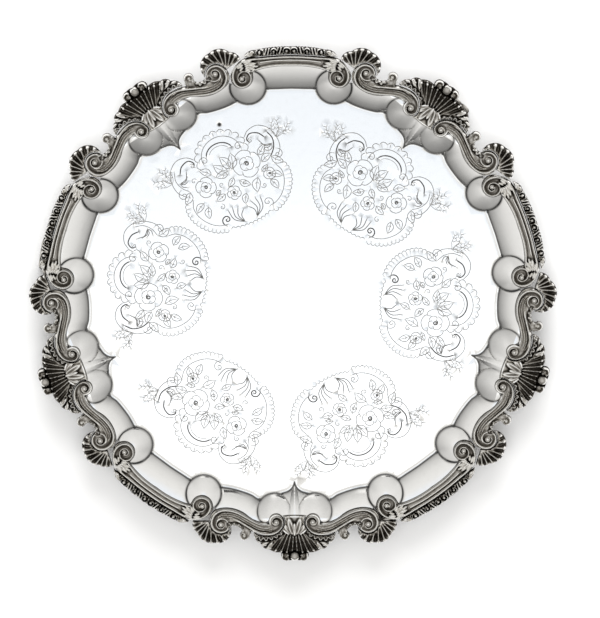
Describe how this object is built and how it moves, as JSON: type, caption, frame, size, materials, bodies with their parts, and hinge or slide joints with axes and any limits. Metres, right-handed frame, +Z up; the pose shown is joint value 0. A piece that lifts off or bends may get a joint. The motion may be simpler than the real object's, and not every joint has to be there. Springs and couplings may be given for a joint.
{
  "type": "salver",
  "caption": "Round silver salver with a chased flat, panelled sides, a cast shell and scroll border and scroll feet.",
  "frame": {"origin": "on the salver's axis, in the plane that its feet stand on", "axes": "+Z up, out of the flat; -Y through the middle of large_shell_1"},
  "size_m": [0.405, 0.4019, 0.034],
  "materials": {
    "sheet_silver": "polished silver sheet with fine wear and chased lines",
    "cast_silver": "cast silver, bright on the high parts and darkened in the recesses"
  },
  "bodies": {
    "root": {"plate": "sheet_silver", "large_shell_1": "cast_silver", "large_shell_2": "cast_silver", "large_shell_3": "cast_silver", "large_shell_4": "cast_silver", "large_shell_5": "cast_silver", "double_scroll_1": "cast_silver", "double_scroll_2": "cast_silver", "double_scroll_3": "cast_silver", "double_scroll_4": "cast_silver", "double_scroll_5": "cast_silver", "double_scroll_6": "cast_silver", "double_scroll_7": "cast_silver", "double_scroll_8": "cast_silver", "double_scroll_9": "cast_silver", "double_scroll_10": "cast_silver", "small_shell_1": "cast_silver", "small_shell_2": "cast_silver", "small_shell_3": "cast_silver", "small_shell_4": "cast_silver", "small_shell_5": "cast_silver", "small_shell_6": "cast_silver", "small_shell_7": "cast_silver", "small_shell_8": "cast_silver", "small_shell_9": "cast_silver", "small_shell_10": "cast_silver", "long_scroll_1": "cast_silver", "long_scroll_2": "cast_silver", "long_scroll_3": "cast_silver", "long_scroll_4": "cast_silver", "long_scroll_5": "cast_silver", "gadroon_1": "cast_silver", "gadroon_2": "cast_silver", "gadroon_3": "cast_silver", "gadroon_4": "cast_silver", "gadroon_5": "cast_silver", "foot_1": "cast_silver", "foot_2": "cast_silver", "foot_3": "cast_silver"}
  },
  "joints": []
}
